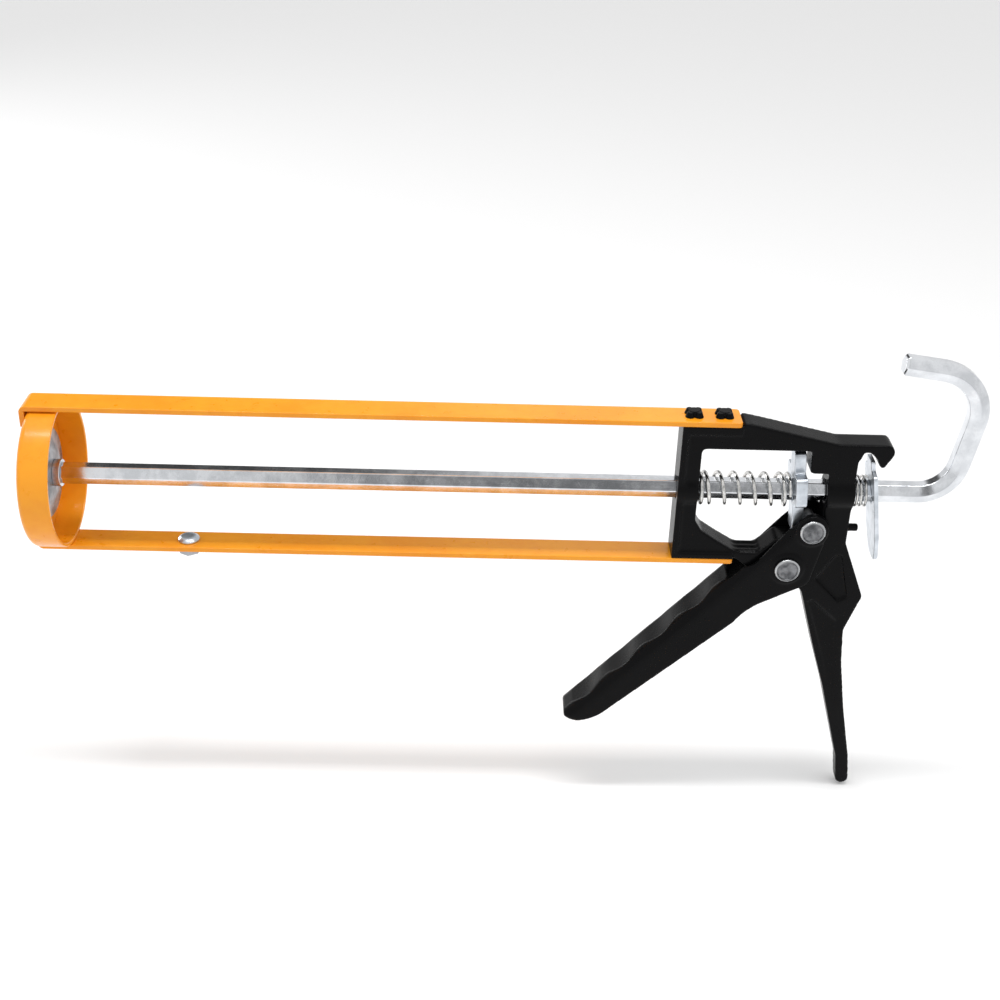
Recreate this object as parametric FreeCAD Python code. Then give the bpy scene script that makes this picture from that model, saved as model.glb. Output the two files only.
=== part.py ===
import FreeCAD, Part
import math
import os

os.makedirs("parts", exist_ok=True)
V = FreeCAD.Vector

# Skeleton caulking gun. Millimetres, +Z up, the rod's axis along X at Y = 0, Z = 0.
# X = 0 is the front face of the front cup; the handle and the ladder hook are towards +X.

# ---------- front cup and straps ----------
cup_outer_r = 27.0
cup_wall = 1.4
cup_depth = 11.2
cup_corner_r = 2.2
nozzle_hole_r = 10.0
strap_width = 12.0
strap_thick = 2.0
strap_bend_r = 0.5
strap_lip = 6.0
strap_end_r = 1.2
cradle_length = 232.0
top_strap_overlap = 21.0
bottom_strap_overlap = 22.8

# ---------- strap fasteners ----------
strap_rivet_shank_r = 1.9
strap_rivet_head_r = 4.0
strap_rivet_head_h = 2.2
strap_rivet_tail_h = 1.8
top_rivet_from_front = (4.2, 15.0)
bottom_rivet_from_front = (5.4, 16.6)
strap_rivet_depth = 5.0
lobe_core_share = 0.62
lobe_core_top = 0.8
lobe_reach_share = 0.55
lobe_top = 0.6
lobe_height = 0.9
stop_bolt_x = 52.8
stop_head_r = 4.0
stop_head_h = 1.8
stop_shank_r = 2.0
stop_nut_flats = 7.0
stop_nut_h = 3.0
stop_thread_past_nut = 1.0

# ---------- rod, hook and piston ----------
rod_flats = 7.0
rod_front = 9.0
spigot_r = 2.6
spigot_front = 1.9
hook_start = 88.0
hook_bend_r = 14.0
hook_bend_angle = 80.0
hook_rise = 17.4
hook_top_r = 17.0
hook_top_angle = 92.0
hook_tail = 14.8
rod_chamfer = 0.8
piston_r = 16.5
piston_sheet = 1.2
piston_rim_x = 3.4
piston_hub_x = 6.4
piston_hub_r = 8.0
piston_rim_width = 3.0
piston_washer_r = 5.0
piston_nut_flats = 9.0
piston_nut_h = 3.0

# ---------- body casting, measured from its front face and the rod's axis ----------
web_half = 5.0
pillar_thick = 7.8
rail_depth = 9.2
window_rear = 47.3
pocket_rear = 54.3
pocket_up = 9.0
rod_boss_r = 6.75
rear_boss_length = 10.3
rod_clearance = 0.25
fin_rear = 76.9
fin_up = 20.7
lower_rail_depth = 2.5
top_flange_depth = 3.0
low_flange_depth = 2.2
pillar_rib_length = 2.4
strap_end_gap = 0.6
stop_step = 1.2
boss_stands_out = 0.4
peg_length = 4.7
peg_r = 1.5
peg_drop = 15.4
bar_spacing = 3.0
bar_half = 0.5
bar_up = 0.6
bar_from_front = 22.0
bar_length = 11.0
bar_root = 0.5
taper_start_drop = 16.0
taper_end_drop = 112.0
handle_tip_half = 2.7
handle_reach = 38.2
panel_depth = 1.2

# ---------- trigger ----------
pivot_from_front = 42.8
pivot_drop = 2.2
drive_pin_up = 16.2
cheek_inner = 5.7
cheek_outer = 8.0
boss_pad = 0.5
boss_pad_r = 6.2
rivet_shank_r = 2.6
rivet_head_r = 4.7
rivet_head_h = 1.5
rivet_dish_r = 3.5
rivet_dish_depth = 0.5
rivet_bevel = 0.55
running_gap = 0.05
side_gap = 0.15
pin_boss_r = 6.3
trigger_wall = 2.2
grip_ahead = 22.7
grip_drop = 7.2
grip_lean = 42.5
groove_pitch = 19.3
groove_depth = 1.0
grip_round = 5.0
grip_length = 78.5
tip_reach = 7.4
tip_round = 4.5
tip_end_wall = 5.0
first_ridge = 3.5
envelope_size = 170.0

# ---------- drive plate and main spring ----------
plate_thick = 4.2
plate_tilt = 4.0
plate_head_half = 4.0
plate_shoulder_half = 9.4
plate_shoulder_up = 8.6
plate_shoulder_down = 3.2
plate_gap = 1.3
plate_top_gap = 1.1
plate_rod_gap = 0.4
plate_pin_gap = 0.155
spring_wire = 1.4
spring_outer_r = 6.5
spring_end_gap = 0.1
spring_turns = 7.25
spring_end_turns = 1.0

# ---------- release plate and its spring ----------
release_thick = 1.6
release_tilt = 9.0
release_head_half = 3.6
release_half = 7.6
release_hook_up = 13.6
release_drop = 28.0
release_neck = 3.6
release_shoulder = 1.4
release_tab_half = 4.4
release_from_front = 68.9
release_hole_gap = 0.5
release_hole_drop = 0.35
release_wire = 0.9
release_spring_r = 6.0
release_turns = 3.0
release_end_turns = 0.75

# ---------- how far cutters reach past the faces they open ----------
past = 1.0

# ---------- values that follow from the ones above ----------
cup_inner_r = cup_outer_r - cup_wall
strap_outer = cup_outer_r + strap_thick
casting_front = cradle_length
top_strap_end = casting_front + top_strap_overlap
bottom_strap_end = casting_front + bottom_strap_overlap
window_left = casting_front + pillar_thick
window_top = cup_outer_r - rail_depth
window_right = casting_front + window_rear
pocket_right = casting_front + pocket_rear
boss_rear = pocket_right + rear_boss_length
pivot_x = casting_front + pivot_from_front
pivot_z = -cup_outer_r - pivot_drop
pin_z = pivot_z + drive_pin_up

# the drive pin stands just behind the tilted plate's foot
plate_rear = window_right - plate_gap
plate_tilt_rad = math.radians(plate_tilt)
foot_rear = plate_rear + math.tan(plate_tilt_rad) * (pocket_up - pin_z)
pin_x = foot_rear + (rivet_shank_r + plate_pin_gap) / math.cos(plate_tilt_rad)


# ---------- shared shape helpers ----------
def at(x, z, y=0.0):
    return V(x, y, z)


def rounded_wire(corners, y=0.0):
    """Closed outline in a plane across Y; each corner is (x, z, corner radius)."""
    starts, arcs, ends = [], [], []
    count = len(corners)
    for i, (x, z, r) in enumerate(corners):
        here = at(x, z, y)
        before = at(corners[i - 1][0], corners[i - 1][1], y) - here
        after = at(corners[(i + 1) % count][0], corners[(i + 1) % count][1], y) - here
        before.normalize()
        after.normalize()
        half = before.getAngle(after) / 2
        if r <= 0 or abs(half - math.pi / 2) < 1e-4:
            starts.append(here)
            ends.append(here)
            arcs.append(None)
            continue
        middle = before + after
        middle.normalize()
        reach = r / math.tan(half)
        centre = here + middle * (r / math.sin(half))
        starts.append(here + before * reach)
        ends.append(here + after * reach)
        arcs.append(centre - middle * r)
    edges = []
    for i in range(count):
        if arcs[i] is not None:
            edges.append(Part.Arc(starts[i], arcs[i], ends[i]).toShape())
        start = ends[i]
        stop = starts[(i + 1) % count]
        if (stop - start).Length > 1e-6:
            edges.append(Part.makeLine(start, stop))
    return Part.Wire(edges)


def prism(corners, y_low, y_high):
    face = Part.Face(rounded_wire(corners, y_low))
    return face.extrude(V(0, y_high - y_low, 0))


def slab(corners, half):
    return prism(corners, -half, half)


def box(x0, x1, y0, y1, z0, z1):
    return Part.makeBox(x1 - x0, y1 - y0, z1 - z0, V(x0, y0, z0))


def rod_along_x(r, x0, x1, y=0.0, z=0.0):
    return Part.makeCylinder(r, x1 - x0, V(x0, y, z), V(1, 0, 0))


def rod_along_y(r, y0, y1, x, z):
    return Part.makeCylinder(r, y1 - y0, V(x, y0, z), V(0, 1, 0))


def rod_along_z(r, z0, z1, x, y=0.0):
    return Part.makeCylinder(r, z1 - z0, V(x, y, z0), V(0, 0, 1))


def hex_face(flats, x):
    """Hexagon across X with a flat on top and one below."""
    r = flats / math.sqrt(3.0)
    turn = [math.radians(60 * i) for i in range(7)]
    return Part.Face(Part.makePolygon([V(x, r * math.cos(a), r * math.sin(a)) for a in turn]))


def hex_hole(gap, x0, x1):
    """Cutter for the rod's hole, a little past both faces."""
    return hex_face(rod_flats + 2 * gap, x0 - past).extrude(V(x1 - x0 + 2 * past, 0, 0))


def turned(points, axis_start, axis_dir):
    """Solid of revolution of a closed polygon."""
    face = Part.Face(Part.makePolygon(points + [points[0]]))
    return face.revolve(axis_start, axis_dir, 360)


def coil(x0, x1, middle_r, wire, turns, end_turns):
    """Compression spring along X with closed ends, as one smooth wire."""
    pitch_end = wire * 1.06
    length = x1 - x0 - wire
    middle_turns = turns - 2 * end_turns
    pitch_middle = (length - 2 * end_turns * pitch_end) / middle_turns
    per_turn = 16
    steps = int(turns * per_turn)
    pts = []
    x = x0 + wire / 2
    for i in range(steps + 1):
        n = i / per_turn
        pts.append(V(x, -middle_r * math.sin(2 * math.pi * n), middle_r * math.cos(2 * math.pi * n)))
        mid_n = (i + 0.5) / per_turn
        near_end = min(mid_n, turns - mid_n)
        blend = min(1.0, max(0.0, near_end - end_turns + 0.5))
        x += (pitch_end + (pitch_middle - pitch_end) * blend) / per_turn
    curve = Part.BSplineCurve()
    curve.interpolate(pts)
    path = Part.Wire([curve.toShape()])
    start = curve.value(curve.FirstParameter)
    tangent = curve.tangent(curve.FirstParameter)[0]
    ring = Part.Wire([Part.makeCircle(wire / 2, start, tangent)])
    return path.makePipeShell([ring], True, True)


def save(shape, name):
    shape.exportStep("parts/" + name + ".step")


# ---------- front cup: one pressing, open to the rear ----------
cup_profile = [
    V(0, 0, nozzle_hole_r),
    V(0, 0, cup_outer_r),
    V(cup_depth, 0, cup_outer_r),
    V(cup_depth, 0, cup_inner_r),
    V(cup_wall, 0, cup_inner_r),
    V(cup_wall, 0, nozzle_hole_r),
]
front_cup = turned(cup_profile, V(0, 0, 0), V(1, 0, 0))
front_rings = [e for e in front_cup.Edges if abs(e.BoundBox.XMax) < 1e-6]
cup_bend = [e for e in front_rings if e.BoundBox.ZLength > 2 * cup_inner_r]
front_cup = front_cup.makeFillet(cup_corner_r, cup_bend)
save(front_cup, "front_cup")


# ---------- straps: flat bar with the front end bent down over the cup ----------
def strap(rear_x):
    lip_end = cup_outer_r - strap_lip
    outer_bend = strap_bend_r + strap_thick
    side = [
        (0, lip_end, 0),
        (-strap_thick, lip_end, 0),
        (-strap_thick, strap_outer, outer_bend),
        (rear_x, strap_outer, 0),
        (rear_x, cup_outer_r, 0),
        (0, cup_outer_r, 0),
    ]
    bar = slab(side, strap_width / 2)
    at_rear = [e for e in bar.Edges if abs(e.BoundBox.XMin - rear_x) < 1e-6]
    upright = [e for e in at_rear if e.BoundBox.ZLength > strap_thick / 2]
    return bar.makeFillet(strap_end_r, upright)


def mirrored_down(shape):
    return shape.mirror(V(0, 0, 0), V(0, 0, 1))


top_strap = strap(top_strap_end)
bottom_strap = mirrored_down(strap(bottom_strap_end))
hole_low = cup_outer_r - past
hole_high = strap_outer + past
for from_front in top_rivet_from_front:
    hole = rod_along_z(strap_rivet_shank_r, hole_low, hole_high, casting_front + from_front)
    top_strap = top_strap.cut(hole)
for from_front in bottom_rivet_from_front:
    hole = rod_along_z(strap_rivet_shank_r, -hole_high, -hole_low, casting_front + from_front)
    bottom_strap = bottom_strap.cut(hole)
bottom_strap = bottom_strap.cut(rod_along_z(stop_shank_r, -hole_high, -hole_low, stop_bolt_x))
save(top_strap, "top_strap")
save(bottom_strap, "bottom_strap")


# ---------- strap rivets: four-lobed staked heads ----------
def lobed_head(x, z, height):
    core_r = strap_rivet_head_r * lobe_core_share
    lobe_reach = strap_rivet_head_r * lobe_reach_share
    lobe_r = strap_rivet_head_r - lobe_reach
    head = Part.makeCone(core_r, core_r * lobe_core_top, height, V(x, 0, z))
    for i in range(4):
        a = math.radians(45 + 90 * i)
        foot = V(x + lobe_reach * math.cos(a), lobe_reach * math.sin(a), z)
        lobe = Part.makeCone(lobe_r, lobe_r * lobe_top, height * lobe_height, foot)
        head = head.fuse(lobe)
    return head


def strap_rivet(x, height):
    shank = rod_along_z(strap_rivet_shank_r, cup_outer_r - strap_rivet_depth, strap_outer, x)
    return shank.fuse(lobed_head(x, strap_outer, height))


top_rivets = [strap_rivet(casting_front + f, strap_rivet_head_h) for f in top_rivet_from_front]
bottom_rivets = [strap_rivet(casting_front + f, strap_rivet_tail_h) for f in bottom_rivet_from_front]
bottom_rivets = [mirrored_down(rivet) for rivet in bottom_rivets]
save(Part.makeCompound(top_rivets), "top_strap_rivets")
save(Part.makeCompound(bottom_rivets), "bottom_strap_rivets")

# ---------- stop bolt near the cup, with its nut under the strap ----------
stop_seat = -cup_outer_r
stop_head = [
    V(stop_bolt_x, 0, stop_seat),
    V(stop_bolt_x + stop_head_r, 0, stop_seat),
    V(stop_bolt_x + stop_head_r, 0, stop_seat + stop_head_h * 0.4),
    V(stop_bolt_x + stop_head_r * 0.72, 0, stop_seat + stop_head_h * 0.88),
    V(stop_bolt_x + stop_head_r * 0.3, 0, stop_seat + stop_head_h),
    V(stop_bolt_x, 0, stop_seat + stop_head_h),
]
stop_bolt = turned(stop_head, V(stop_bolt_x, 0, 0), V(0, 0, 1))
stop_tip = -strap_outer - stop_nut_h - stop_thread_past_nut
stop_bolt = stop_bolt.fuse(rod_along_z(stop_shank_r, stop_tip, stop_seat, stop_bolt_x))
save(stop_bolt, "stop_bolt")

stop_nut = hex_face(stop_nut_flats, 0).extrude(V(stop_nut_h, 0, 0))
stop_nut.rotate(V(0, 0, 0), V(0, 1, 0), 90)
stop_nut.translate(V(stop_bolt_x, 0, -strap_outer))
stop_nut = stop_nut.cut(rod_along_z(stop_shank_r, stop_tip - past, stop_seat, stop_bolt_x))
save(stop_nut, "stop_nut")

# ---------- push rod: hexagon bar, its rear end bent up and forward into a hook ----------
hook_x = casting_front + hook_start
rod = hex_face(rod_flats, rod_front).extrude(V(hook_x - rod_front, 0, 0))
rod = rod.fuse(rod_along_x(spigot_r, spigot_front, rod_front))


def bend_on(solid, face, heading, radius, angle):
    """Carries the bar on round a bend in the XZ plane, turning upwards."""
    middle = face.CenterOfMass
    up = V(-heading.z, 0, heading.x)
    centre = middle + up * radius
    piece = face.revolve(centre, V(0, -1, 0), angle)
    end_face = face.copy()
    end_face.rotate(centre, V(0, -1, 0), angle)
    turn = FreeCAD.Rotation(V(0, -1, 0), angle)
    return solid.fuse(piece), end_face, turn.multVec(heading)


def straight_on(solid, face, heading, length):
    piece = face.extrude(heading * length)
    end_face = face.copy()
    end_face.translate(heading * length)
    return solid.fuse(piece), end_face


face = hex_face(rod_flats, hook_x)
heading = V(1, 0, 0)
rod, face, heading = bend_on(rod, face, heading, hook_bend_r, hook_bend_angle)
rod, face = straight_on(rod, face, heading, hook_rise)
rod, face, heading = bend_on(rod, face, heading, hook_top_r, hook_top_angle)
rod, face = straight_on(rod, face, heading, hook_tail)
tail_middle = face.CenterOfMass
rod = rod.removeSplitter()
tail_edges = [e for e in rod.Edges if abs((e.CenterOfMass - tail_middle).dot(heading)) < 1e-3]
rod = rod.makeChamfer(rod_chamfer, tail_edges)
save(rod, "push_rod")

# ---------- piston: dished steel disc held on the spigot ----------
sheet = piston_sheet
hub = piston_hub_x
rim = piston_rim_x
rim_inner = piston_r - piston_rim_width
piston_profile = [
    V(hub - sheet, 0, spigot_r + running_gap),
    V(hub, 0, spigot_r + running_gap),
    V(hub, 0, piston_hub_r),
    V(rim + sheet, 0, rim_inner),
    V(rim + sheet, 0, piston_r),
    V(rim, 0, piston_r),
    V(rim, 0, rim_inner),
    V(hub - sheet, 0, piston_hub_r),
]
piston_disc = turned(piston_profile, V(0, 0, 0), V(1, 0, 0))
save(piston_disc, "piston_disc")

piston_washer = rod_along_x(piston_washer_r, hub, rod_front)
piston_washer = piston_washer.cut(rod_along_x(spigot_r, hub - past, rod_front + past))
save(piston_washer, "piston_washer")

nut_rear = hub - sheet
piston_nut = hex_face(piston_nut_flats, nut_rear - piston_nut_h).extrude(V(piston_nut_h, 0, 0))
piston_nut = piston_nut.cut(rod_along_x(spigot_r, 0, rod_front))
save(piston_nut, "piston_nut")

# ---------- body casting: web, top rail with rear fin, lower rail, rod bosses and handle ----------
def from_pivot(dx, dz, r=0.0):
    return (pivot_x + dx, pivot_z + dz, r)


rail_bottom = -cup_outer_r
step_x = top_strap_end + strap_end_gap
fin_x = casting_front + fin_rear
notch_front = boss_rear - boss_stands_out
casting_outline = [
    (casting_front, cup_outer_r, 0),
    (step_x, cup_outer_r, 0),
    (step_x, cup_outer_r + stop_step, stop_step / 2),
    (step_x + 3.0, cup_outer_r + stop_step * 0.75, 2.0),
    (boss_rear - 8.0, fin_up, 8.0),
    (fin_x, fin_up, 2.6),
    (fin_x - 0.4, fin_up - 4.0, 1.2),
    (fin_x - 3.6, fin_up - 9.6, 0.9),
    (fin_x - 5.2, fin_up - 8.0, 1.2),
    (fin_x - 6.2, fin_up - 5.4, 0.8),
    (fin_x - 9.0, fin_up - 3.0, 0.6),
    (fin_x - 11.2, fin_up - 3.0, 0.6),
    (fin_x - 11.8, fin_up - 5.6, 0.4),
    (notch_front, fin_up - 6.4, 0.4),
    (notch_front, pivot_z + 9.4, 2.0),
    from_pivot(30.7, -13.7, 1.5),
    from_pivot(25.7, -29.1, 2.0),
    from_pivot(27.3, -44.9, 10.0),
    from_pivot(31.3, -67.3, 20.0),
    from_pivot(36.3, -90.2, 10.0),
    from_pivot(handle_reach, -103.9, 2.4),
    from_pivot(33.1, -104.9, 2.4),
    from_pivot(31.3, -90.9, 4.0),
    from_pivot(30.0, -86.6, 6.0),
    from_pivot(21.3, -55.9, 20.0),
    from_pivot(15.0, -36.9, 20.0),
    from_pivot(6.7, -9.4, 6.0),
    from_pivot(-7.0, -7.6, 6.0),
    (bottom_strap_end + 1.0, rail_bottom, 2.0),
    (casting_front, rail_bottom, 0),
]
body = slab(casting_outline, web_half)

window = [
    (window_left, window_top, 1.5),
    (window_right, window_top, 1.5),
    (window_right, pocket_up, 0.8),
    (pocket_right, pocket_up, 0.8),
    (pocket_right, pivot_z + 11.6, 2.0),
    from_pivot(-4.5, 10.8, 3.0),
    from_pivot(-11.0, 4.6, 3.0),
    (casting_front + 24.0, rail_bottom + lower_rail_depth, 3.0),
    (casting_front + 16.6, pivot_z + 9.2, 3.0),
    (casting_front + 10.4, pivot_z + 13.4, 2.0),
    (window_left, pivot_z + 17.6, 2.0),
]
body = body.cut(slab(window, web_half + past))

front_boss = rod_along_x(rod_boss_r, casting_front, window_left)
rear_boss = rod_along_x(rod_boss_r, pocket_right, boss_rear)
peg = rod_along_x(peg_r, notch_front - past, notch_front + peg_length, 0, -peg_drop)
body = body.fuse([front_boss, rear_boss, peg])

# the rails are wider than the web where the straps lie
flange_half = strap_width / 2
top_flange_low = cup_outer_r - top_flange_depth
low_flange_top = rail_bottom + low_flange_depth
rib_rear = casting_front + pillar_rib_length
top_flange = box(casting_front, top_strap_end, -flange_half, flange_half, top_flange_low, cup_outer_r)
low_flange = box(casting_front, bottom_strap_end, -flange_half, flange_half, rail_bottom, low_flange_top)
pillar_rib = box(casting_front, rib_rear, -flange_half, flange_half, rail_bottom, cup_outer_r)
body = body.fuse([top_flange, low_flange, pillar_rib])

# the rod's holes and the rivets' blind holes
body = body.cut(hex_hole(rod_clearance, casting_front, boss_rear))
for from_front in top_rivet_from_front:
    hole_end = cup_outer_r - strap_rivet_depth
    hole = rod_along_z(strap_rivet_shank_r, hole_end, cup_outer_r + past, casting_front + from_front)
    body = body.cut(hole)
for from_front in bottom_rivet_from_front:
    hole_end = rail_bottom + strap_rivet_depth
    hole = rod_along_z(strap_rivet_shank_r, rail_bottom - past, hole_end, casting_front + from_front)
    body = body.cut(hole)
body = body.cut(rod_along_y(rivet_shank_r, -web_half - past, web_half + past, pivot_x, pivot_z))

# sunken panels on both sides of the handle, with a slanting rib between them
upper_panel = [
    from_pivot(11.7, -6.1, 0.8),
    from_pivot(13.3, -3.9, 1.5),
    from_pivot(18.2, 4.4, 1.5),
    from_pivot(20.6, 4.4, 1.0),
    from_pivot(25.0, -13.9, 1.5),
    from_pivot(21.6, -16.2, 1.0),
]
spike_panel = [
    from_pivot(9.8, -13.7, 0.8),
    from_pivot(22.3, -24.6, 1.5),
    from_pivot(23.6, -40.0, 3.0),
    from_pivot(31.2, -82.6, 0),
    from_pivot(30.2, -82.8, 0),
    from_pivot(19.2, -42.2, 3.0),
]
for side in (-1, 1):
    low, high = sorted((side * (web_half - panel_depth), side * (web_half + past)))
    body = body.cut(prism(upper_panel, low, high))
    body = body.cut(prism(spike_panel, low, high))

# three raised bars along the top face of the lower rail
rail_top = rail_bottom + lower_rail_depth
bar_x = casting_front + bar_from_front
for y in (-bar_spacing, 0.0, bar_spacing):
    bar = box(bar_x, bar_x + bar_length, y - bar_half, y + bar_half, rail_top - bar_root, rail_top + bar_up)
    body = body.fuse(bar)

# the handle thins towards its tip
taper_top = pivot_z - taper_start_drop
taper_low = pivot_z - taper_end_drop
for side in (-1, 1):
    corners = [
        V(pivot_x, side * web_half, taper_top),
        V(pivot_x, side * (web_half + past), taper_top),
        V(pivot_x, side * (web_half + past), taper_low),
        V(pivot_x, side * handle_tip_half, taper_low),
    ]
    wedge = Part.Face(Part.makePolygon(corners + [corners[0]])).extrude(V(handle_reach + past, 0, 0))
    body = body.cut(wedge)
save(body, "body_casting")

# ---------- trigger: channel section, open towards the handle ----------
grip_lean_rad = math.radians(grip_lean)
grip_top = V(pivot_x - grip_ahead, 0, pivot_z - grip_drop)
grip_along = V(-math.sin(grip_lean_rad), 0, -math.cos(grip_lean_rad))
grip_out = V(grip_along.z, 0, -grip_along.x)


def grip_curve(inset, s0, s1):
    """Finger grooves: a smooth wave along the front of the grip."""
    steps = 40
    pts = []
    for i in range(steps + 1):
        s = s0 + (s1 - s0) * i / steps
        wave = -groove_depth / 2 * (1 - math.cos(2 * math.pi * (s - first_ridge) / groove_pitch))
        pts.append(grip_top + grip_along * s + grip_out * (wave - inset))
    curve = Part.BSplineCurve()
    curve.interpolate(pts)
    return curve.toShape(), pts[0], pts[-1]


def on_grip(along, inset):
    return grip_top + grip_along * along - grip_out * inset


front_edge, front_start, front_end = grip_curve(0.0, 0.0, grip_length)
tip_far = grip_length + tip_reach
tip_front_mid = on_grip(tip_far - 1.7, 0.3)
tip_point = on_grip(tip_far, 2.4)
tip_low_mid = on_grip(tip_far - 3.6, 6.4)
tip_heel = on_grip(tip_far - 12.0, 10.4)


def pv(dx, dz):
    return V(pivot_x + dx, 0, pivot_z + dz)


def on_pin_boss(angle):
    a = math.radians(angle)
    return V(pin_x + pin_boss_r * math.cos(a), 0, pin_z + pin_boss_r * math.sin(a))


# rear edge of the cheeks, then round both rivets and down the front edge
rear_bend_a = pv(-17.3, -24.6)
rear_bend_mid = pv(-12.2, -18.7)
rear_bend_b = pv(-6.0, -14.7)
heel = pv(6.4, -8.2)
heel_mid = pv(8.8, -6.1)
heel_top = pv(9.6, -3.4)

boss_right = on_pin_boss(-12)
boss_top = on_pin_boss(70)
boss_left = on_pin_boss(145)
shoulder = pv(-10.5, 2.7)
shoulder_mid = pv(-13.0, 0.4)
shoulder_low = pv(-16.2, -0.9)
trigger_edges = [
    front_edge,
    Part.Arc(front_end, tip_front_mid, tip_point).toShape(),
    Part.Arc(tip_point, tip_low_mid, tip_heel).toShape(),
    Part.makeLine(tip_heel, rear_bend_a),
    Part.Arc(rear_bend_a, rear_bend_mid, rear_bend_b).toShape(),
    Part.makeLine(rear_bend_b, heel),
    Part.Arc(heel, heel_mid, heel_top).toShape(),
    Part.makeLine(heel_top, boss_right),
    Part.Arc(boss_right, boss_top, boss_left).toShape(),
    Part.makeLine(boss_left, shoulder),
    Part.Arc(shoulder, shoulder_mid, shoulder_low).toShape(),
    Part.makeLine(shoulder_low, front_start),
]
trigger_face = Part.Face(Part.Wire(trigger_edges))
trigger = trigger_face.extrude(V(0, 2 * cheek_outer, 0))
trigger.translate(V(0, -cheek_outer, 0))


def envelope(corner_r, turn, front):
    """Block as wide as the cheeks with two round corners, its front at a point and turned about Y."""
    corners = [
        (0.0, -cheek_outer, corner_r),
        (0.0, cheek_outer, corner_r),
        (envelope_size, cheek_outer, 0),
        (envelope_size, -cheek_outer, 0),
    ]
    wire = rounded_wire(corners)
    wire.rotate(V(0, 0, 0), V(1, 0, 0), -90)
    block = Part.Face(wire).extrude(V(0, 0, 2 * envelope_size))
    block.translate(V(0, 0, -envelope_size))
    block.rotate(V(0, 0, 0), V(0, 1, 0), turn)
    block.translate(front)
    return block


# the grip's front corners and its tip are rounded by keeping only what lies in two such blocks
trigger = trigger.common(envelope(grip_round, grip_lean, grip_top))
trigger = trigger.common(envelope(tip_round, grip_lean - 90, on_grip(tip_far, 0)))

# the channel's hollow: all between the cheeks but the front wall and the closed end
inner_edge, inner_start, inner_end = grip_curve(trigger_wall, 0.0, tip_far - tip_end_wall)
channel_corners = [
    inner_end,
    inner_end - grip_out * 30,
    pv(30, -30),
    pv(30, 30),
    pv(-20, 30),
    inner_start + V(0, 0, 8),
    inner_start,
]
channel_edges = [inner_edge] + Part.makePolygon(channel_corners).Edges
channel = Part.Face(Part.Wire(channel_edges)).extrude(V(0, 2 * cheek_inner, 0))
channel.translate(V(0, -cheek_inner, 0))
trigger = trigger.cut(channel)
for side in (-1, 1):
    low, high = sorted((side * cheek_outer, side * (cheek_outer + boss_pad)))
    for x, z in ((pin_x, pin_z), (pivot_x, pivot_z)):
        trigger = trigger.fuse(rod_along_y(boss_pad_r, low, high, x, z))
side_reach = cheek_outer + boss_pad + past
trigger = trigger.cut(rod_along_y(rivet_shank_r, -side_reach, side_reach, pin_x, pin_z))
trigger = trigger.cut(rod_along_y(rivet_shank_r + running_gap, -side_reach, side_reach, pivot_x, pivot_z))
save(trigger, "trigger")


# ---------- trigger rivets: shank with a dished head each side ----------
def trigger_rivet(x, z, gap):
    seat = cheek_outer + boss_pad + gap
    top = seat + rivet_head_h
    half_side = [
        V(x, 0, z),
        V(x + rivet_shank_r, 0, z),
        V(x + rivet_shank_r, seat, z),
        V(x + rivet_head_r, seat, z),
        V(x + rivet_head_r, top - rivet_bevel, z),
        V(x + rivet_head_r - rivet_bevel, top, z),
        V(x + rivet_dish_r + rivet_bevel / 2, top, z),
        V(x + rivet_dish_r, top - rivet_dish_depth, z),
        V(x, top - rivet_dish_depth, z),
    ]
    half = turned(half_side, V(x, 0, z), V(0, 1, 0))
    return half.fuse(half.mirror(V(0, 0, 0), V(0, 1, 0))).removeSplitter()


save(trigger_rivet(pivot_x, pivot_z, side_gap), "trigger_pivot_rivet")
save(trigger_rivet(pin_x, pin_z, 0.0), "drive_pin_rivet")

# ---------- drive plate: cross-shaped, its head against the window's rear wall ----------
foot_bottom = pin_z - rivet_shank_r
plate_top = window_top - plate_top_gap
shoulder_low_z = -plate_shoulder_down


def across(points, x0, thick):
    """Flat plate across X; each point is (y, z, corner radius)."""
    wire = rounded_wire([(y, z, r) for y, z, r in points])
    wire.rotate(V(0, 0, 0), V(0, 0, 1), 90)
    plate = Part.Face(wire).extrude(V(thick, 0, 0))
    plate.translate(V(x0, 0, 0))
    return plate


drive_outline = [
    (-plate_head_half, plate_top, 2.4),
    (plate_head_half, plate_top, 2.4),
    (plate_head_half, plate_shoulder_up, 0.8),
    (plate_shoulder_half, plate_shoulder_up, 2.0),
    (plate_shoulder_half, shoulder_low_z, 2.0),
    (plate_head_half, shoulder_low_z, 0.8),
    (plate_head_half, foot_bottom, 1.2),
    (-plate_head_half, foot_bottom, 1.2),
    (-plate_head_half, shoulder_low_z, 0.8),
    (-plate_shoulder_half, shoulder_low_z, 2.0),
    (-plate_shoulder_half, plate_shoulder_up, 2.0),
    (-plate_head_half, plate_shoulder_up, 0.8),
]
drive_plate = across(drive_outline, plate_rear - plate_thick, plate_thick)
drive_plate = drive_plate.cut(hex_hole(plate_rod_gap, plate_rear - plate_thick, plate_rear))
drive_plate.rotate(V(plate_rear, 0, pocket_up), V(0, -1, 0), plate_tilt)
save(drive_plate, "drive_plate")

# ---------- springs ----------
plate_lean = math.tan(plate_tilt_rad) * (pocket_up - spring_outer_r)
plate_front_at_rod = plate_rear - plate_thick + plate_lean
main_spring = coil(
    window_left + spring_end_gap,
    plate_front_at_rod - spring_end_gap,
    spring_outer_r - spring_wire / 2,
    spring_wire,
    spring_turns,
    spring_end_turns,
)
save(main_spring, "main_spring")

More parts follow.
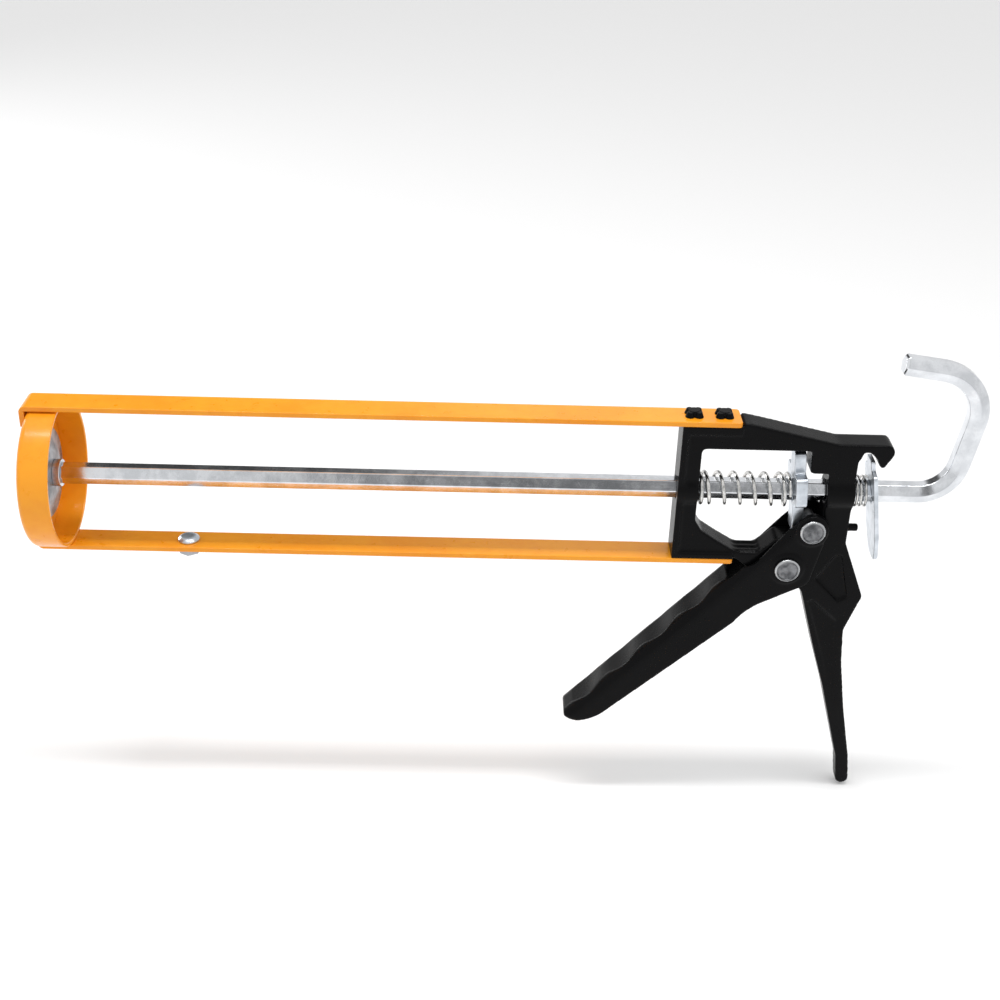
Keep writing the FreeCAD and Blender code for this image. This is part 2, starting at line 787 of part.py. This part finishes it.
# ---------- release plate: hooked in the rear notch, hanging past the rod to a thumb tab ----------
release_x = casting_front + release_from_front
neck_low = release_hook_up - release_neck
shoulder_high = neck_low - release_shoulder
tab_bend = -release_drop * 0.6
release_outline = [
    (-release_head_half, release_hook_up, 1.0),
    (release_head_half, release_hook_up, 1.0),
    (release_head_half, neck_low, 0.6),
    (release_half, shoulder_high, 1.5),
    (release_half, tab_bend, 4.0),
    (release_tab_half, -release_drop, 3.4),
    (-release_tab_half, -release_drop, 3.4),
    (-release_half, tab_bend, 4.0),
    (-release_half, shoulder_high, 1.5),
    (-release_head_half, neck_low, 0.6),
]
release_plate = across(release_outline, release_x, release_thick)
release_hole = hex_hole(release_hole_gap, release_x, release_x + release_thick)
release_hole.translate(V(0, 0, -release_hole_drop))
release_plate = release_plate.cut(release_hole)
release_plate.rotate(V(release_x, 0, release_hook_up), V(0, -1, 0), release_tilt)
save(release_plate, "release_plate")

release_lean = math.tan(math.radians(release_tilt)) * (release_hook_up - release_spring_r)
release_front_at_spring = release_x + release_lean
release_spring = coil(
    boss_rear + spring_end_gap,
    release_front_at_spring - spring_end_gap,
    release_spring_r - release_wire / 2,
    release_wire,
    release_turns,
    release_end_turns,
)
save(release_spring, "release_spring")
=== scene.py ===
# %% [markdown]
# # A skeleton caulking gun
# The tool is an orange cradle for a sealant cartridge, a black die-cast body with a
# squeeze trigger, and a bright hexagon rod that two tilted plates grip and release.
# The engineering model gives every piece its place and size. Blender gives it rounded
# edges, wound springs and painted or plated finishes.

# %% Load the engineering model
import math

import bmesh
import bpy
from mathutils import Matrix, Vector


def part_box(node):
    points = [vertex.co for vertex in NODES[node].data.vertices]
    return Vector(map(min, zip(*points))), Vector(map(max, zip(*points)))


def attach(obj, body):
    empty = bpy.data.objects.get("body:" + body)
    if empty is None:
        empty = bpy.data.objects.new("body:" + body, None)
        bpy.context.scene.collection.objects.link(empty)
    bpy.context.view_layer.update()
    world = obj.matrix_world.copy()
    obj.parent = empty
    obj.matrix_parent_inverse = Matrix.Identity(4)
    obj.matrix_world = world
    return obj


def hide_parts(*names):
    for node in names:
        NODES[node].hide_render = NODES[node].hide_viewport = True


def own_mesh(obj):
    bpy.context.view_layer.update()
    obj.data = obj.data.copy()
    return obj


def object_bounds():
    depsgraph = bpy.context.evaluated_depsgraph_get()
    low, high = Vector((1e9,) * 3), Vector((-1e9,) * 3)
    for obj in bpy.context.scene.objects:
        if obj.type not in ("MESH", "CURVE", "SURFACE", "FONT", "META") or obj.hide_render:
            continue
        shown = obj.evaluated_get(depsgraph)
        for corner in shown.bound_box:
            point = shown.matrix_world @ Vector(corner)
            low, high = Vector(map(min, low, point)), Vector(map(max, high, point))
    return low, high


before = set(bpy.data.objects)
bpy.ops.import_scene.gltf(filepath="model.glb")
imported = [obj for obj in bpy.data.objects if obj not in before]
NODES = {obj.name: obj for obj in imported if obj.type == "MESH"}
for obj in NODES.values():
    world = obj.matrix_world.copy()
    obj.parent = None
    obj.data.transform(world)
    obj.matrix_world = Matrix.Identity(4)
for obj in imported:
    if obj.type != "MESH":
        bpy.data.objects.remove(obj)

cad_low, cad_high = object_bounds()
MM = 0.001
print("engineering model", [round(v / MM, 1) for v in cad_high - cad_low], "mm")

# %% [markdown]
# ## Camera
# A long lens a little above the tool and a little to its front shows the cradle as two
# nearly parallel bars. The camera is placed at a given point and then turned: first about the
# vertical, then tipped down, then rolled, in that order.

# %% Set the camera
CAMERA_PLACE = Vector((0.16165, -0.47851, 0.25655))
TURN_DEG, TIP_DEG, ROLL_DEG = -0.773, -28.87, -1.665
LENS_MM = 53.63


def turn(degrees, axis):
    return Matrix.Rotation(math.radians(degrees), 4, axis)


camera_data = bpy.data.cameras.new("camera")
camera_data.lens = LENS_MM
camera_data.sensor_width = 36
camera_data.clip_start = 0.01
camera = bpy.data.objects.new("camera", camera_data)
camera.matrix_world = (Matrix.Translation(CAMERA_PLACE) @ turn(TURN_DEG, "Z")
                       @ turn(TIP_DEG, "X") @ turn(ROLL_DEG, "Y") @ turn(90, "X"))
bpy.context.scene.collection.objects.link(camera)
bpy.context.scene.camera = camera
print("camera at", [round(v, 3) for v in CAMERA_PLACE])

# %% [markdown]
# ## Working helpers
# Blender's operators act on whatever is selected, so each step starts by selecting one
# thing only. `only` picks one object, `apply_all` makes its modifiers part of its mesh,
# and `hand_over` names the finished piece and hangs it on the body it rides on.

# %% Selection helpers
def only(piece):
    if bpy.context.object and bpy.context.object.mode != "OBJECT":
        bpy.ops.object.mode_set(mode="OBJECT")
    bpy.ops.object.select_all(action="DESELECT")
    piece.select_set(True)
    bpy.context.view_layer.objects.active = piece
    return piece


def apply_all(piece):
    only(piece)
    for name in [m.name for m in piece.modifiers]:
        bpy.ops.object.modifier_apply(modifier=name)


def hand_over(piece, name, body, slot, *nodes):
    """Names a finished piece and says which body it rides on; its slot is not used."""
    piece.name = name
    piece.data.name = name
    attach(piece, body)
    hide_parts(*nodes)
    print(name, len(piece.data.polygons), "faces")
    return piece

# %% [markdown]
# ## Softened edges
# No edge on a real tool is perfectly sharp: sheet steel is tumbled and die castings have
# small rounds. An exact copy of the engineering solid is merged into one skin, its flat
# faces are joined, and the outward edges sharper than a set angle are marked with a bevel
# weight. A Bevel modifier rounds only those. The round lies inside the old corner, so the
# piece keeps its size, and inside corners stay crisp as they are where two faces meet.

# %% Round the edges of a solid
MERGE = 0.002 * MM


def copy_of(node):
    """A free copy of a solid, merged into one closed skin."""
    piece = NODES[node].copy()
    piece.data = NODES[node].data.copy()
    for key in list(piece.keys()):
        del piece[key]
    piece.parent = None
    piece.modifiers.clear()
    bpy.context.scene.collection.objects.link(piece)
    piece.data.materials.clear()
    only(piece)
    bpy.ops.object.mode_set(mode="EDIT")
    bpy.ops.mesh.select_all(action="SELECT")
    bpy.ops.mesh.customdata_custom_splitnormals_clear()
    bpy.ops.mesh.remove_doubles(threshold=MERGE)
    bpy.ops.mesh.normals_make_consistent(inside=False)
    bpy.ops.object.mode_set(mode="OBJECT")
    return piece


def smooth_shade(piece, angle=35):
    only(piece)
    bpy.ops.object.shade_smooth_by_angle(angle=math.radians(angle))
    weighted = piece.modifiers.new("weighted", "WEIGHTED_NORMAL")
    weighted.keep_sharp = True
    apply_all(piece)


def mark_outer_edges(piece, sharp):
    """Gives a bevel weight of 1 to each edge that turns outwards by more than the angle."""
    skin = bmesh.new()
    skin.from_mesh(piece.data)
    weight = skin.edges.layers.float.new("bevel_weight_edge")
    for edge in skin.edges:
        if edge.is_manifold and edge.calc_face_angle_signed() > math.radians(sharp):
            edge[weight] = 1.0
    skin.to_mesh(piece.data)
    skin.free()


def softened(node, width, segments=2, sharp=30, flat=0.5):
    """A copy of a solid whose outward edges are rounded by width."""
    piece = copy_of(node)
    bpy.ops.object.mode_set(mode="EDIT")
    bpy.ops.mesh.select_all(action="SELECT")
    bpy.ops.mesh.dissolve_limited(angle_limit=math.radians(flat))
    bpy.ops.object.mode_set(mode="OBJECT")
    mark_outer_edges(piece, sharp)
    bevel = piece.modifiers.new("edges", "BEVEL")
    bevel.width = width
    bevel.segments = segments
    bevel.limit_method = "WEIGHT"
    bevel.use_clamp_overlap = False
    apply_all(piece)
    smooth_shade(piece)
    return piece

# %% [markdown]
# ## Finishes as expressions
# A finish is a small graph of nodes. The class below wraps one output socket, so sums
# read like ordinary maths: `noise * 0.4 + 0.3` adds its own Math nodes. `Finish.node`
# makes any other node from its type, its settings and its inputs.

# %% Shader maths
class Value:
    def __init__(self, finish, socket):
        self.finish, self.socket = finish, socket

    def math(self, operation, other, swap=False):
        pair = [other, self] if swap else [self, other]
        return self.finish.node("ShaderNodeMath", {"operation": operation}, dict(enumerate(pair)))

    def __add__(self, other): return self.math("ADD", other)
    def __radd__(self, other): return self.math("ADD", other, True)
    def __sub__(self, other): return self.math("SUBTRACT", other)
    def __rsub__(self, other): return self.math("SUBTRACT", other, True)
    def __mul__(self, other): return self.math("MULTIPLY", other)
    def __rmul__(self, other): return self.math("MULTIPLY", other, True)


class Graph:
    """A tree of shader nodes, for a finish or for the surroundings."""
    def __init__(self, tree):
        self.tree = tree

    def node(self, kind, settings=None, inputs=None, out=0):
        made = self.tree.nodes.new(kind)
        for name, value in (settings or {}).items():
            setattr(made, name, value)
        for name, value in (inputs or {}).items():
            if isinstance(value, Value):
                self.tree.links.new(value.socket, made.inputs[name])
            else:
                made.inputs[name].default_value = value
        return Value(self, made.outputs[out])

    def band(self, value, low, high, to_low=0.0, to_high=1.0):
        """Stretches the part of a value between low and high over a new range."""
        return self.node("ShaderNodeMapRange", {"interpolation_type": "SMOOTHSTEP"},
                         {"Value": value, "From Min": low, "From Max": high,
                          "To Min": to_low, "To Max": to_high})

    def blend(self, share, a, b):
        return self.node("ShaderNodeMix", {"data_type": "RGBA"},
                         {"Factor": share, 6: a, 7: b}, out=2)


class Finish(Graph):
    def __init__(self, name, **constants):
        self.material = bpy.data.materials.new(name)
        self.material.use_nodes = True
        super().__init__(self.material.node_tree)
        self.shader = self.tree.nodes["Principled BSDF"]
        for socket, value in constants.items():
            self.shader.inputs[socket.replace("_", " ")].default_value = value

    def place(self, stretch=(1, 1, 1), centre=(0, 0, 0), turned=(0, 0, 0)):
        here = self.node("ShaderNodeTexCoord", out="Object")
        return self.node("ShaderNodeMapping", {"vector_type": "TEXTURE"},
                         {"Vector": here, "Location": centre, "Rotation": turned,
                          "Scale": [1 / s for s in stretch]})

    def noise(self, per_metre, detail=3.0, rough=0.5, at=None):
        return self.node("ShaderNodeTexNoise", {},
                         {"Vector": at or self.place(), "Scale": per_metre,
                          "Detail": detail, "Roughness": rough}, out="Fac")

    def edges(self, radius):
        """Near 1 along sharp edges, where a finish wears or thins."""
        rounded = self.node("ShaderNodeBevel", {"samples": 6}, {"Radius": radius})
        flat = self.node("ShaderNodeNewGeometry", out="Normal")
        alike = self.node("ShaderNodeVectorMath", {"operation": "DOT_PRODUCT"},
                          {0: rounded, 1: flat}, out="Value")
        return self.band(1 - alike, 0.01, 0.12)

    def bumps(self, *layers):
        """Stacks bump layers, each (height, depth in metres)."""
        under = None
        for height, depth in layers:
            inputs = {"Height": height, "Distance": depth, "Strength": 1.0}
            if under is not None:
                inputs["Normal"] = under
            under = self.node("ShaderNodeBump", {}, inputs)
        self.set(Normal=under)

    def set(self, **links):
        for name, value in links.items():
            self.tree.links.new(value.socket, self.shader.inputs[name.replace("_", " ")])

    def on(self, *pieces):
        for piece in pieces:
            piece.data.materials.clear()
            piece.data.materials.append(self.material)
        return self

# %% [markdown]
# ## Orange powder coat
# Straps and cup are sprayed with powder that melts into a thick glossy skin. It shows a
# faint orange-peel ripple, small changes of depth, and a thinner, redder skin on edges.
# Noise of three sizes gives the depth and the ripple, and the edge mask thins the colour.

# %% Orange paint
def orange_paint():
    paint = Finish("orange_paint", IOR=1.5, Specular_IOR_Level=0.3, Coat_Roughness=0.12,
                   Coat_IOR=1.45)
    drift = paint.noise(28, 2)
    fine = paint.noise(260, 3)
    depth = paint.band(drift * 0.7 + fine * 0.3, 0.35, 0.65)
    colour = paint.blend(depth, (0.84, 0.285, 0.008, 1), (0.89, 0.345, 0.013, 1))
    edge = paint.edges(0.5 * MM)
    colour = paint.blend(edge * 0.5, colour, (0.80, 0.20, 0.012, 1))
    paint.set(Base_Color=colour, Roughness=fine * 0.10 + 0.24, Coat_Weight=drift * 0.2 + 0.12)
    paint.bumps((paint.noise(420, 2), 0.05 * MM), (paint.noise(1700, 2), 0.012 * MM))
    return paint


ORANGE = orange_paint()
print("orange powder coat made")

# %% [markdown]
# ## Black paint on the castings
# The body and trigger are zinc or aluminium castings under a thin black enamel. Its gloss
# varies from place to place and it follows the casting's gentle waviness, so highlights
# are soft and a little uneven. Handling wears it paler along the edges.

# %% Black paint
def black_paint():
    paint = Finish("black_paint", IOR=1.46, Specular_IOR_Level=0.10)
    cloud = paint.noise(55, 3)
    grain = paint.noise(1500, 3)
    edge = paint.edges(0.45 * MM)
    worn = edge * paint.band(paint.noise(340, 4), 0.52, 0.66)
    colour = paint.blend(cloud, (0.0012, 0.0012, 0.0014, 1), (0.0032, 0.0032, 0.0036, 1))
    colour = paint.blend(edge * 0.30, colour, (0.014, 0.014, 0.015, 1))
    colour = paint.blend(worn * 0.25, colour, (0.09, 0.09, 0.095, 1))
    paint.set(Base_Color=colour, Roughness=cloud * 0.14 + grain * 0.08 + 0.17)
    paint.bumps((cloud, 0.30 * MM), (paint.noise(300, 2), 0.03 * MM), (grain, 0.006 * MM))
    return paint


BLACK = black_paint()
print("black enamel made")

# %% [markdown]
# ## Plated metals
# The plates, piston and small fasteners are zinc plated, a bright grey with a faint blue
# cast and a cloudy, slightly blotchy sheen. The piston disc inside the cup and the nut
# below the strap get a darker zinc, which is painted shade, and a duller gloss. The rod is
# smoother and was drawn through a die, so fine lines run along it. The springs are nickel
# plated wire. One function makes all of them, because only colour, gloss and grain differ.

# %% Zinc, rod and spring metals
def plated(name, dull, bright, rough, cloud_size=140, lines=None, stain=0.25):
    metal = Finish(name, Metallic=1.0)
    cloud = metal.noise(cloud_size, 4, 0.6)
    grain = metal.noise(2200, 2)
    colour = metal.blend(metal.band(cloud, 0.35, 0.65), dull, bright)
    marks = metal.band(metal.noise(420, 5, 0.65), 0.60, 0.72)
    colour = metal.blend(marks * stain, colour, [c * 0.45 for c in dull[:3]] + [1])
    roughness = cloud * 0.16 + grain * 0.06 + (rough - 0.11) + marks * 0.10
    layers = [(cloud, 0.05 * MM), (grain, 0.004 * MM)]
    if lines:
        drawn = metal.noise(1, 4, 0.7, at=metal.place(lines))
        roughness = roughness + (drawn - 0.5) * 0.14
        layers.append((drawn, 0.005 * MM))
    metal.set(Base_Color=colour, Roughness=roughness)
    metal.bumps(*layers)
    return metal


ZINC = plated("zinc_plate", (0.50, 0.54, 0.585, 1), (0.70, 0.74, 0.79, 1), 0.30)
# Darker zinc: painted shade for the piston disc inside the cup and the nut under the strap.
ZINC_PAINTED_SHADE = plated("zinc_painted_shade", (0.16, 0.165, 0.175, 1), (0.40, 0.41, 0.43, 1), 0.34)
ROD = plated("plated_rod", (0.66, 0.68, 0.71, 1), (0.82, 0.84, 0.87, 1), 0.15,
             lines=(25, 4200, 4200), stain=0.12)
SPRING = plated("spring_wire", (0.50, 0.50, 0.49, 1), (0.78, 0.77, 0.75, 1), 0.20,
                cloud_size=600, stain=0.4)
print("plated metals made")

# %% [markdown]
# ## Rivet faces
# The two trigger rivets are headed on a spinning tool, which leaves a dished middle with
# fine rings round its centre. The rings are a function of the distance from the rivet's
# own axis. A bright rim is painted on as a highlight, and the darker middle is painted
# shade with a real mottle in it.

# %% Rivet steel
RING_WAVES = 16000.0


def rivet_steel(node):
    low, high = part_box(node)
    centre = (low + high) / 2
    radius = (high.x - low.x) / 2
    metal = Finish("rivet_steel_" + node, Metallic=1.0)
    across = metal.place(stretch=(1, 1e-6, 1), centre=(centre.x, 0, centre.z))
    reach = metal.node("ShaderNodeVectorMath", {"operation": "LENGTH"}, {0: across}, out="Value")
    rings = metal.node("ShaderNodeMath", {"operation": "SINE"}, {0: reach * RING_WAVES})
    cloud = metal.noise(300, 4, 0.6)
    dish = metal.band(reach, 0.84 * radius, 0.92 * radius, 1.0, 0.0)
    # Painted highlight on the rim and painted shade in the dished middle.
    rim_painted_highlight = (0.52, 0.53, 0.54, 1)
    middle_painted_shade = metal.blend(metal.band(cloud, 0.3, 0.7),
                         (0.07, 0.072, 0.077, 1), (0.25, 0.255, 0.265, 1))
    metal.set(Base_Color=metal.blend(dish, rim_painted_highlight, middle_painted_shade),
              Roughness=cloud * 0.15 + dish * 0.12 + 0.16)
    metal.bumps((rings * dish * 0.5 + 0.5, 0.008 * MM), (cloud, 0.05 * MM))
    return metal


RIVET = {node: rivet_steel(node) for node in ("trigger_pivot_rivet", "drive_pin_rivet")}
print("rivet steel made for", len(RIVET), "rivets")

# %% [markdown]
# ## Cup and straps
# The cup is one pressing with a rolled front corner, and the straps are sheared from
# strip. Their cut edges were tumbled before painting, so a bevel of a few tenths of a
# millimetre is enough to catch a line of light.

# %% Cup and straps
cup = softened("front_cup", 0.45 * MM, 3)
hand_over(cup, "cartridge_cup", "frame", "orange_paint", "front_cup")
upper = softened("top_strap", 0.35 * MM, 3)
hand_over(upper, "upper_strap", "frame", "orange_paint", "top_strap")
lower = softened("bottom_strap", 0.35 * MM, 3)
hand_over(lower, "lower_strap", "frame", "orange_paint", "bottom_strap")
ORANGE.on(cup, upper, lower)

# %% [markdown]
# ## Body casting and trigger
# Die castings leave the mould with rounded edges and soft inside corners alike, so a
# bevel on the outward edges is not enough. A Remesh modifier gives the solid one even
# skin of small squares, and a Smooth modifier relaxes it. Flat faces stay flat, and every
# corner, outward or inward, takes the same soft round. The black enamel goes on last.

# %% Castings
def cast_skin(node, grain, passes):
    """A copy of a solid in squares of one grain, with every corner relaxed."""
    piece = copy_of(node)
    skin = piece.modifiers.new("even skin", "REMESH")
    skin.mode = "VOXEL"
    skin.voxel_size = grain
    relaxed = piece.modifiers.new("soft corners", "SMOOTH")
    relaxed.factor = 0.5
    relaxed.iterations = passes
    apply_all(piece)
    bpy.ops.object.shade_smooth()
    return piece


body = cast_skin("body_casting", 0.50 * MM, 8)
hand_over(body, "cast_body", "frame", "black_paint", "body_casting")
trigger = cast_skin("trigger", 0.45 * MM, 10)
hand_over(trigger, "squeeze_trigger", "trigger", "black_paint", "trigger")
stakes_top = softened("top_strap_rivets", 0.2 * MM, 2)
hand_over(stakes_top, "upper_strap_stakes", "frame", "black_paint", "top_strap_rivets")
stakes_low = softened("bottom_strap_rivets", 0.2 * MM, 2)
hand_over(stakes_low, "lower_strap_stakes", "frame", "black_paint", "bottom_strap_rivets")
BLACK.on(body, trigger, stakes_top, stakes_low)

# %% [markdown]
# ## Rod, plates and fasteners
# The rod is hexagon bar with slightly rounded corners, bent cold into a hook. The two
# plates are punched from thick strip, so they have a rolled edge on the punch side.

# %% Bright pieces
rod = softened("push_rod", 0.35 * MM, 3)
hand_over(rod, "hexagon_push_rod", "rod", "plated_rod", "push_rod")
ROD.on(rod)
for node, name, body_name, edge in (
        ("drive_plate", "gripping_drive_plate", "drive_plate", 0.4),
        ("release_plate", "thumb_release_plate", "release_plate", 0.35),
        ("piston_disc", "piston_plate", "piston", 0.3),
        ("piston_nut", "piston_lock_nut", "rod", 0.3),
        ("piston_washer", "piston_backing_washer", "rod", 0.2),
        ("stop_bolt", "strap_stop_bolt", "frame", 0.25),
        ("stop_nut", "strap_stop_nut", "frame", 0.3)):
    piece = softened(node, edge * MM, 3, sharp=25)
    hand_over(piece, name, body_name, "zinc_plate", node)
    # The nut under the strap and the piston disc inside the cup get the zinc with painted shade.
    finish = ZINC_PAINTED_SHADE if node in ("stop_nut", "piston_disc") else ZINC
    finish.on(piece)
for node, name, body_name in (("trigger_pivot_rivet", "pivot_rivet", "frame"),
                              ("drive_pin_rivet", "drive_rivet", "trigger")):
    piece = softened(node, 0.15 * MM, 2)
    hand_over(piece, name, body_name, "rivet_steel", node)
    RIVET[node].on(piece)

# %% [markdown]
# ## Springs
# Each spring is one long wire wound round the rod, with closed turns at both ends and
# open turns between. A smooth curve with a round section follows the winding, and is
# then turned into a mesh, so the coil has no joints.

# %% Wind a spring
CLOSED_PITCH = 1.06         # of the wire, so neighbouring closed turns nearly touch
POINTS_PER_TURN = 24


def wound_spring(node, wire, turns, end_turns):
    low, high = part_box(node)
    middle_r = (high.z - low.z) / 2 - wire / 2
    closed = wire * CLOSED_PITCH
    pitch = (high.x - low.x - wire - 2 * end_turns * closed) / (turns - 2 * end_turns)
    data = bpy.data.curves.new(node, "CURVE")
    data.dimensions = "3D"
    line = data.splines.new("NURBS")
    count = int(turns * POINTS_PER_TURN) + 1
    line.points.add(count - 1)
    x = low.x + wire / 2
    for i in range(count):
        n = i / POINTS_PER_TURN
        a = 2 * math.pi * n
        line.points[i].co = (x, -middle_r * math.sin(a), middle_r * math.cos(a), 1)
        open_share = min(1.0, max(0.0, min(n, turns - n) - end_turns + 0.5))
        x += (closed + (pitch - closed) * open_share) / POINTS_PER_TURN
    line.order_u = 3
    line.use_endpoint_u = True
    line.resolution_u = 2
    data.bevel_depth = wire / 2
    data.bevel_resolution = 3
    data.use_fill_caps = True
    piece = bpy.data.objects.new(node, data)
    bpy.context.scene.collection.objects.link(piece)
    only(piece)
    bpy.ops.object.convert(target="MESH")
    bpy.ops.object.mode_set(mode="EDIT")
    bpy.ops.mesh.select_all(action="SELECT")
    bpy.ops.mesh.remove_doubles(threshold=MERGE)
    bpy.ops.mesh.normals_make_consistent(inside=False)
    bpy.ops.object.mode_set(mode="OBJECT")
    bpy.ops.object.shade_smooth_by_angle(angle=math.radians(50))
    return piece


main_spring = wound_spring("main_spring", 1.4 * MM, 7.25, 1.0)
hand_over(main_spring, "drive_return_spring", "frame", "spring_wire", "main_spring")
release_spring = wound_spring("release_spring", 0.9 * MM, 3, 0.75)
hand_over(release_spring, "release_return_spring", "frame", "spring_wire", "release_spring")
SPRING.on(main_spring, release_spring)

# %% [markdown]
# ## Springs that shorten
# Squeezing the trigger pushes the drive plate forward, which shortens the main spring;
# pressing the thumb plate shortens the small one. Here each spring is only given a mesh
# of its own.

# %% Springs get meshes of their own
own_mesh(main_spring)
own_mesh(release_spring)

# %% [markdown]
# ## Studio
# The tool lies over plain pale paper under a bright tent. Polished metal only looks like
# metal when it has something dark to reflect, so the tent has two dim openings: one
# behind and to the left, and one in front, above the camera. Two narrow strip lights draw
# thin highlights along the rounded edges of the black castings.

# %% Floor and tent
FLOOR_SIZE = 14.0
FLOOR_CENTRE = (0.17, 3.0, cad_low.z - MM)
bpy.ops.mesh.primitive_plane_add(size=FLOOR_SIZE, location=FLOOR_CENTRE)
floor = bpy.context.object
floor.name = "studio_floor"
pale = Finish("studio_paper", Base_Color=(0.95, 0.95, 0.95, 1), Roughness=0.9)
pale.on(floor)

world = bpy.data.worlds.new("studio")
bpy.context.scene.world = world
world.use_nodes = True
tent = Graph(world.node_tree)
backdrop = world.node_tree.nodes["Background"]
looking = tent.node("ShaderNodeTexCoord", out="Generated")


def dim_opening(towards, inner_deg, outer_deg):
    """1 inside a round patch of the tent, 0 outside it."""
    alike = tent.node("ShaderNodeVectorMath", {"operation": "DOT_PRODUCT"},
                      {0: looking, 1: Vector(towards).normalized()}, out="Value")
    return tent.band(alike, math.cos(math.radians(outer_deg)), math.cos(math.radians(inner_deg)))


behind = dim_opening((-0.27, 0.84, 0.46), 9, 19)
ahead = dim_opening((0.05, -0.86, 0.52), 4, 13)
tone = tent.blend(behind * 0.94, (0.84, 0.84, 0.84, 1), (0.01, 0.01, 0.01, 1))
tone = tent.blend(ahead * 0.80, tone, (0.03, 0.03, 0.03, 1))
tent.tree.links.new(tone.socket, backdrop.inputs["Color"])
backdrop.inputs["Strength"].default_value = 1.0
print("floor", FLOOR_SIZE, "m and tent made")

# %% Strip lights
def strip_light(name, place, aim, length, width, watts):
    data = bpy.data.lights.new(name, "AREA")
    data.shape = "RECTANGLE"
    data.size, data.size_y = length, width
    data.energy = watts
    lamp = bpy.data.objects.new(name, data)
    lamp.location = place
    lamp.rotation_euler = (Vector(aim) - Vector(place)).to_track_quat("-Z", "Y").to_euler()
    bpy.context.scene.collection.objects.link(lamp)


strip_light("overhead_strip", (0.17, -0.05, 0.80), (0.17, 0, 0),
            length=0.8, width=0.08, watts=4.2)
strip_light("left_strip", (-0.75, 0.75, 0.30), (0.22, 0, -0.05),
            length=0.16, width=0.5, watts=2.4)
bpy.context.scene.view_settings.view_transform = "Standard"
print("studio ready")
